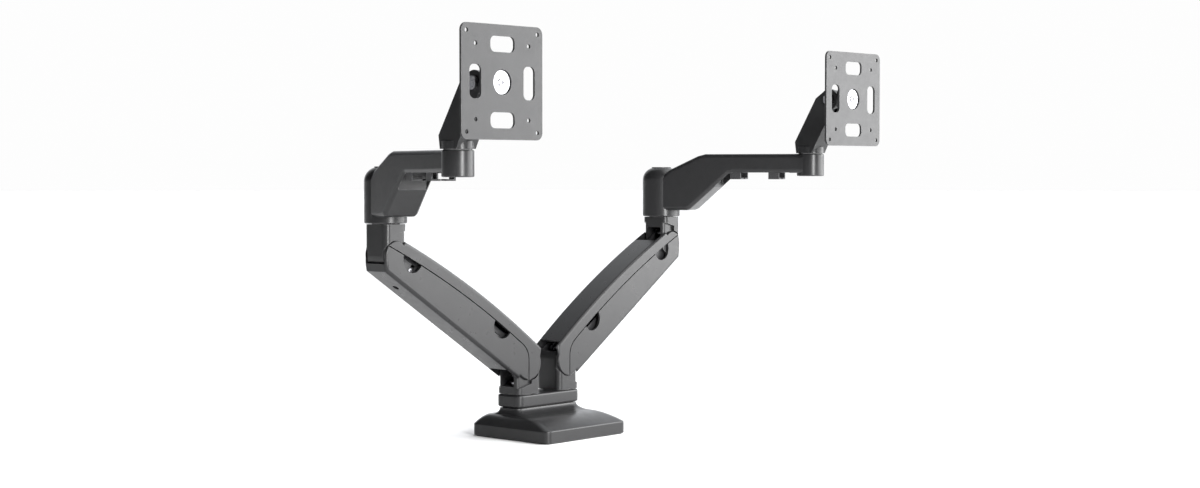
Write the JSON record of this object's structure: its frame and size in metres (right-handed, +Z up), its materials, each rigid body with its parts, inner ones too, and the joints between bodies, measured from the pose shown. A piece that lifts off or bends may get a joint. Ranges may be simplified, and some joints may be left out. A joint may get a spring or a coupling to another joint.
{
  "type": "dual gas spring monitor arm",
  "caption": "Desk arm for a pair of flat screens: a sloped base plate with a yoke, and mirrored gas spring arms that lift, swivel, fold, tilt and turn square screen plates.",
  "frame": {"origin": "centre of the base underside, on the desk surface", "axes": "+Z up, -Y towards the user, in the direction the screens face, +X to the right as seen from the user"},
  "size_m": [0.7276, 0.2908, 0.4631],
  "materials": {
    "cast": "satin black powder coat on die-cast aluminium",
    "shell": "satin black moulded plastic with a fine texture",
    "trim": "dark grey moulded plastic",
    "sheet": "black powder coat on sheet steel",
    "steel": "black electrocoat on pressed sheet steel",
    "hardware": "zinc-plated steel",
    "spring_tube": "gloss black painted steel tube",
    "rod": "polished hard chrome",
    "nylon": "grey glass-filled nylon",
    "rubber": "matte black rubber"
  },
  "bodies": {
    "base": {"base_pad": "rubber", "base_plate": "sheet", "base_cover": "shell", "yoke": "cast", "yoke_screws": "hardware"},
    "left_swivel": {"left_swivel_washer": "nylon", "left_swivel_bolt": "hardware", "left_swivel_nut": "hardware", "left_lower_block": "cast", "left_lower_pins": "hardware"},
    "left_lift": {"left_channel": "steel", "left_top_cover": "shell", "left_bottom_cover": "shell", "left_spring_pin": "hardware", "left_tension_nut": "steel", "left_tension_screw": "hardware"},
    "left_link": {"left_level_link": "steel"},
    "left_spring_body": {"left_gas_cylinder": "spring_tube"},
    "left_spring_rod": {"left_gas_rod": "rod"},
    "left_elbow": {"left_elbow_block": "cast", "left_elbow_pins": "hardware", "left_elbow_shaft": "hardware", "left_elbow_washer": "nylon"},
    "left_extension": {"left_extension_arm": "cast", "left_cable_clips": "trim", "left_hub_cap": "trim", "left_head_washer": "nylon"},
    "left_head": {"left_head_bracket": "cast", "left_tilt_bolt": "hardware"},
    "left_tilt": {"left_tilt_block": "cast", "left_plate_retainer": "hardware"},
    "left_plate": {"left_screen_plate": "sheet"},
    "right_swivel": {"right_swivel_washer": "nylon", "right_swivel_bolt": "hardware", "right_swivel_nut": "hardware", "right_lower_block": "cast", "right_lower_pins": "hardware"},
    "right_lift": {"right_channel": "steel", "right_top_cover": "shell", "right_bottom_cover": "shell", "right_spring_pin": "hardware", "right_tension_nut": "steel", "right_tension_screw": "hardware"},
    "right_link": {"right_level_link": "steel"},
    "right_spring_body": {"right_gas_cylinder": "spring_tube"},
    "right_spring_rod": {"right_gas_rod": "rod"},
    "right_elbow": {"right_elbow_block": "cast", "right_elbow_pins": "hardware", "right_elbow_shaft": "hardware", "right_elbow_washer": "nylon"},
    "right_extension": {"right_extension_arm": "cast", "right_cable_clips": "trim", "right_hub_cap": "trim", "right_head_washer": "nylon"},
    "right_head": {"right_head_bracket": "cast", "right_tilt_bolt": "hardware"},
    "right_tilt": {"right_tilt_block": "cast", "right_plate_retainer": "hardware"},
    "right_plate": {"right_screen_plate": "sheet"}
  },
  "joints": [
    {"name": "left_arm_swivel", "type": "hinge", "parent": "base", "child": "left_swivel", "pos_m": [-0.034, 0.018, 0.06], "axis": [0, 0, 1], "range_deg": [-90, 90]},
    {"name": "left_arm_lift", "type": "hinge", "parent": "left_swivel", "child": "left_lift", "pos_m": [-0.034, 0.018, 0.088], "axis": [0.0349, 0.9994, 0], "range_deg": [-47.6, 8.4]},
    {"name": "left_level_link_pivot", "type": "hinge", "parent": "left_swivel", "child": "left_link", "pos_m": [-0.034, 0.018, 0.101], "axis": [0.0349, 0.9994, 0], "range_deg": [-48.6, 9.4]},
    {"name": "left_spring_pivot", "type": "hinge", "parent": "left_lift", "child": "left_spring_body", "pos_m": [-0.21102, 0.02418, 0.20449], "axis": [0.0349, 0.9994, 0], "range_deg": [-3, 3]},
    {"name": "left_spring_stroke", "type": "slide", "parent": "left_spring_body", "child": "left_spring_rod", "axis": [0.8025, -0.028, -0.596], "range_m": [-0.016, 0.004]},
    {"name": "left_elbow_level", "type": "hinge", "parent": "left_lift", "child": "left_elbow", "pos_m": [-0.23794, 0.02512, 0.22358], "axis": [0.0349, 0.9994, 0], "range_deg": [-9.4, 48.6]},
    {"name": "left_extension_swivel", "type": "hinge", "parent": "left_elbow", "child": "left_extension", "pos_m": [-0.23794, 0.02512, 0.25858], "axis": [0, 0, 1], "range_deg": [-192, 48]},
    {"name": "left_head_turn", "type": "hinge", "parent": "left_extension", "child": "left_head", "pos_m": [-0.30634, -0.16282, 0.33858], "axis": [0, 0, 1], "range_deg": [-110, 70]},
    {"name": "left_screen_tilt", "type": "hinge", "parent": "left_head", "child": "left_tilt", "pos_m": [-0.30634, -0.20082, 0.40558], "axis": [-1, 0, 0], "range_deg": [-30, 80]},
    {"name": "left_screen_roll", "type": "hinge", "parent": "left_tilt", "child": "left_plate", "pos_m": [-0.30634, -0.22782, 0.40558], "axis": [0, -1, 0], "range_deg": [-180, 180]},
    {"name": "right_arm_swivel", "type": "hinge", "parent": "base", "child": "right_swivel", "pos_m": [0.034, 0.018, 0.06], "axis": [0, 0, 1], "range_deg": [-90, 90]},
    {"name": "right_arm_lift", "type": "hinge", "parent": "right_swivel", "child": "right_lift", "pos_m": [0.034, 0.018, 0.088], "axis": [0.0349, -0.9994, 0], "range_deg": [-47.6, 8.4]},
    {"name": "right_level_link_pivot", "type": "hinge", "parent": "right_swivel", "child": "right_link", "pos_m": [0.034, 0.018, 0.101], "axis": [0.0349, -0.9994, 0], "range_deg": [-48.6, 9.4]},
    {"name": "right_spring_pivot", "type": "hinge", "parent": "right_lift", "child": "right_spring_body", "pos_m": [0.21102, 0.02418, 0.20449], "axis": [0.0349, -0.9994, 0], "range_deg": [-3, 3]},
    {"name": "right_spring_stroke", "type": "slide", "parent": "right_spring_body", "child": "right_spring_rod", "axis": [-0.8025, -0.028, -0.596], "range_m": [-0.016, 0.004]},
    {"name": "right_elbow_level", "type": "hinge", "parent": "right_lift", "child": "right_elbow", "pos_m": [0.23794, 0.02512, 0.22358], "axis": [0.0349, -0.9994, 0], "range_deg": [-9.4, 48.6]},
    {"name": "right_extension_swivel", "type": "hinge", "parent": "right_elbow", "child": "right_extension", "pos_m": [0.23794, 0.02512, 0.25858], "axis": [0, 0, 1], "range_deg": [-48, 192]},
    {"name": "right_head_turn", "type": "hinge", "parent": "right_extension", "child": "right_head", "pos_m": [0.30634, -0.16282, 0.33858], "axis": [0, 0, 1], "range_deg": [-70, 110]},
    {"name": "right_screen_tilt", "type": "hinge", "parent": "right_head", "child": "right_tilt", "pos_m": [0.30634, -0.20082, 0.40558], "axis": [-1, 0, 0], "range_deg": [-30, 80]},
    {"name": "right_screen_roll", "type": "hinge", "parent": "right_tilt", "child": "right_plate", "pos_m": [0.30634, -0.22782, 0.40558], "axis": [0, -1, 0], "range_deg": [-180, 180]}
  ],
  "couplings": [
    {"joint": "left_level_link_pivot", "follows": "left_arm_lift", "ratio": 1},
    {"joint": "left_spring_pivot", "follows": "left_arm_lift", "ratio": -0.02},
    {"joint": "left_spring_stroke", "follows": "left_arm_lift", "m_per_rad": 0.0138},
    {"joint": "left_elbow_level", "follows": "left_arm_lift", "ratio": -1},
    {"joint": "right_level_link_pivot", "follows": "right_arm_lift", "ratio": 1},
    {"joint": "right_spring_pivot", "follows": "right_arm_lift", "ratio": -0.02},
    {"joint": "right_spring_stroke", "follows": "right_arm_lift", "m_per_rad": 0.0138},
    {"joint": "right_elbow_level", "follows": "right_arm_lift", "ratio": -1}
  ]
}
